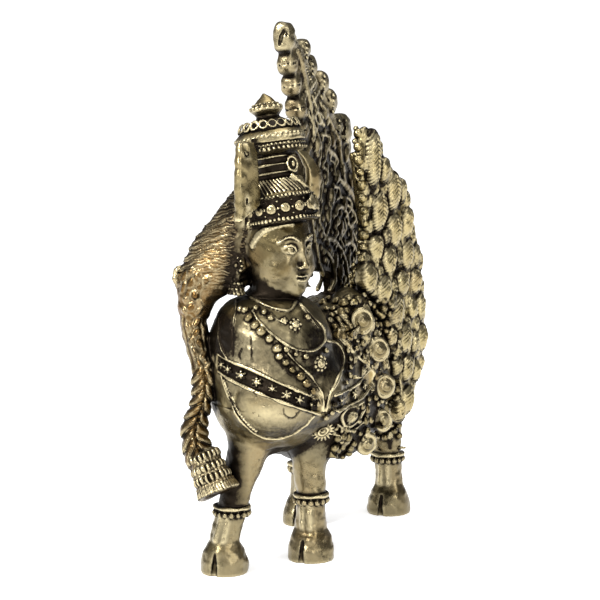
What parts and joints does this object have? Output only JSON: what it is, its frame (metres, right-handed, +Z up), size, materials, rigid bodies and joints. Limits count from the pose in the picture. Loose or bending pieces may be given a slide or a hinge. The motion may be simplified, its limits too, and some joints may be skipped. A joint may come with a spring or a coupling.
{
  "type": "kamdhenu statue",
  "caption": "Antique-brass Kamdhenu figure: a cow with a crowned woman's head and jewelled bust, cow horns, a long plait, a raised feathered wing and a tall peacock tail.",
  "frame": {"origin": "centre of the statue's bounding box in plan, at the level its four hooves stand on", "axes": "+Z up; the cow faces -Y; its left flank, with the raised wing, is on +X"},
  "size_m": [0.0664, 0.1472, 0.202],
  "materials": {
    "brass": "antique brass, dark patina in the recesses and worn bright on the high parts"
  },
  "bodies": {
    "root": {"kamdhenu_statue": "brass"}
  },
  "joints": []
}
